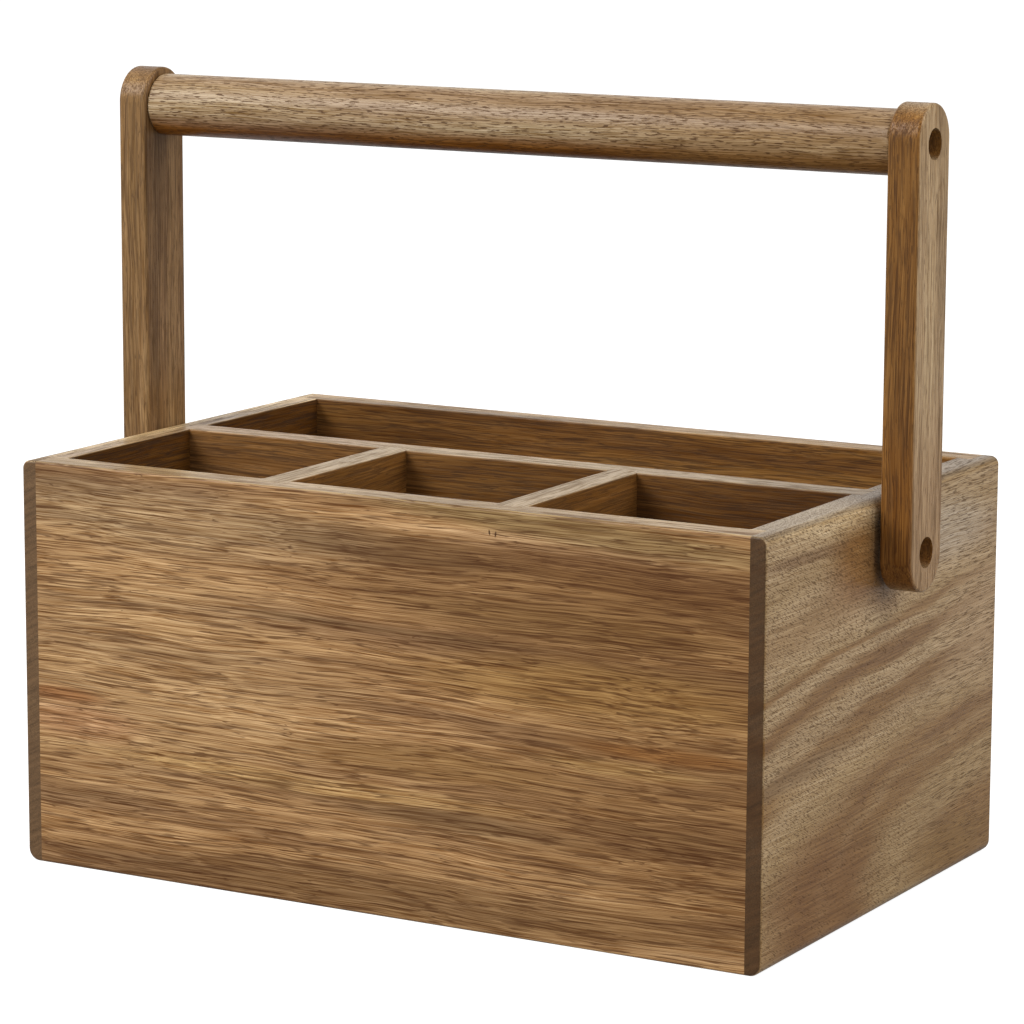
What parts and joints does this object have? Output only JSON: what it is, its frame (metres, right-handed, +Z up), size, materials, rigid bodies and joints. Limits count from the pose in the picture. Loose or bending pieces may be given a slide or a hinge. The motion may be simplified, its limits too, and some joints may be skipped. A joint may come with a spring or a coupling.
{
  "type": "utensil caddy",
  "caption": "Open wooden utensil caddy with a divided front row, a long rear bay and a round-bar handle that folds down to the front or back.",
  "frame": {"origin": "middle of the box's underside, on the surface it stands on", "axes": "+X runs along the box to its right end, -Y is the front with the row of bays, +Z is up"},
  "size_m": [0.3282, 0.192, 0.285],
  "materials": {
    "front_board": "satin oiled acacia",
    "back_board": "satin oiled acacia",
    "end_board": "satin oiled acacia",
    "inner_board": "satin oiled acacia",
    "base_board": "satin oiled acacia",
    "handle_arm": "satin oiled acacia",
    "grip": "satin oiled acacia",
    "screw_steel": "zinc plated",
    "washer_steel": "zinc plated",
    "spacer_nylon": "plain moulded nylon",
    "insert_brass": "turned brass"
  },
  "bodies": {
    "caddy": {"front_panel": "front_board", "back_panel": "back_board", "base_panel": "base_board", "left_end_board": "end_board", "right_end_board": "end_board", "long_partition": "inner_board", "left_divider": "inner_board", "right_divider": "inner_board", "left_pivot_screw": "screw_steel", "left_pivot_washer": "washer_steel", "left_spacer": "spacer_nylon", "left_threaded_insert": "insert_brass", "right_pivot_screw": "screw_steel", "right_pivot_washer": "washer_steel", "right_spacer": "spacer_nylon", "right_threaded_insert": "insert_brass"},
    "handle": {"left_handle_arm": "handle_arm", "right_handle_arm": "handle_arm", "handle_grip": "grip", "left_grip_screw": "screw_steel", "right_grip_screw": "screw_steel"}
  },
  "joints": [
    {"name": "handle_swing", "type": "hinge", "parent": "caddy", "child": "handle", "pos_m": [0, 0, 0.13], "axis": [1, 0, 0], "range_deg": [-130, 130]}
  ]
}
